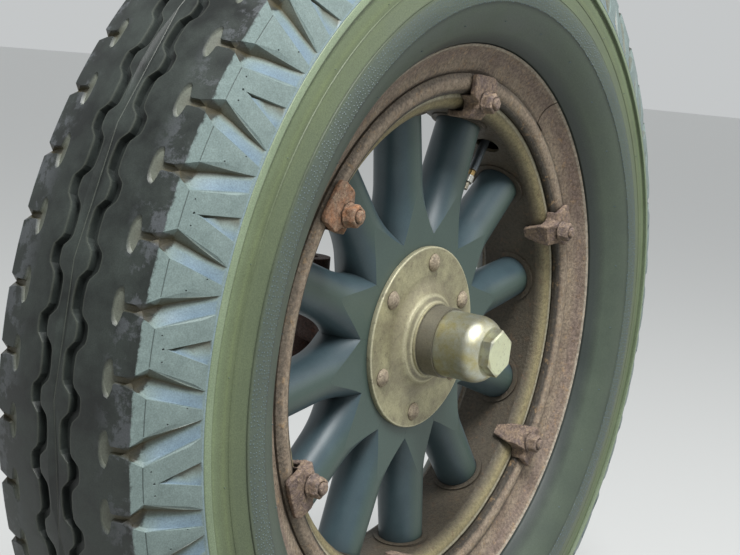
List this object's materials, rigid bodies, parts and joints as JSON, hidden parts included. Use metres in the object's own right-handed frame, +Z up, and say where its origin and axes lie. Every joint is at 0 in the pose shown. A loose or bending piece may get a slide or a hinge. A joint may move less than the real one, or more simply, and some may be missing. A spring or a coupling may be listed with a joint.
{
  "type": "wooden spoke car wheel on its steering knuckle",
  "caption": "Wood-spoke front wheel: bias tyre, rim with split side ring, wedge clamps, steel felloe and capped hub, turning on a forged knuckle with a steering arm.",
  "frame": {"origin": "centre of the knuckle's kingpin bore, at the height of the wheel's axis", "axes": "+Z up along the kingpin bore, -Y outward along the spindle, -X towards the front of the car"},
  "size_m": [0.866, 0.276, 0.866],
  "materials": {
    "tyre_rubber": "satin, bias tyre",
    "rim_steel": "matt rust patina",
    "felloe_steel": "matt rust patina",
    "spoke_paint": "satin blue-grey paint",
    "hub_brass": "worn, dull",
    "hub_iron": "rusty",
    "bolt_iron": "rusty",
    "cap_brass": "worn nickel over brass",
    "bearing_steel": "ground",
    "clamp_iron": "rusty",
    "valve_metal": "dull",
    "knuckle_iron": "rusty with old paint"
  },
  "bodies": {
    "knuckle": {"knuckle": "knuckle_iron", "steering_arm": "knuckle_iron"},
    "wheel": {"tyre": "tyre_rubber", "rim": "rim_steel", "side_ring": "rim_steel", "felloe": "felloe_steel", "spoke_01": "spoke_paint", "spoke_02": "spoke_paint", "spoke_03": "spoke_paint", "spoke_04": "spoke_paint", "spoke_05": "spoke_paint", "spoke_06": "spoke_paint", "spoke_07": "spoke_paint", "spoke_08": "spoke_paint", "spoke_09": "spoke_paint", "spoke_10": "spoke_paint", "spoke_11": "spoke_paint", "spoke_12": "spoke_paint", "hub": "hub_brass", "rear_flange": "hub_iron", "hub_bolts": "bolt_iron", "hub_nuts": "bolt_iron", "hub_cap": "cap_brass", "inner_bearing": "bearing_steel", "outer_bearing": "bearing_steel", "clamps": "clamp_iron", "clamp_studs": "clamp_iron", "clamp_nuts": "clamp_iron", "valve_stem": "valve_metal"}
  },
  "joints": [
    {"name": "wheel_spin", "type": "hinge", "parent": "knuckle", "child": "wheel", "pos_m": [0, -0.115, 0], "axis": [0, 1, 0], "continuous": true}
  ]
}
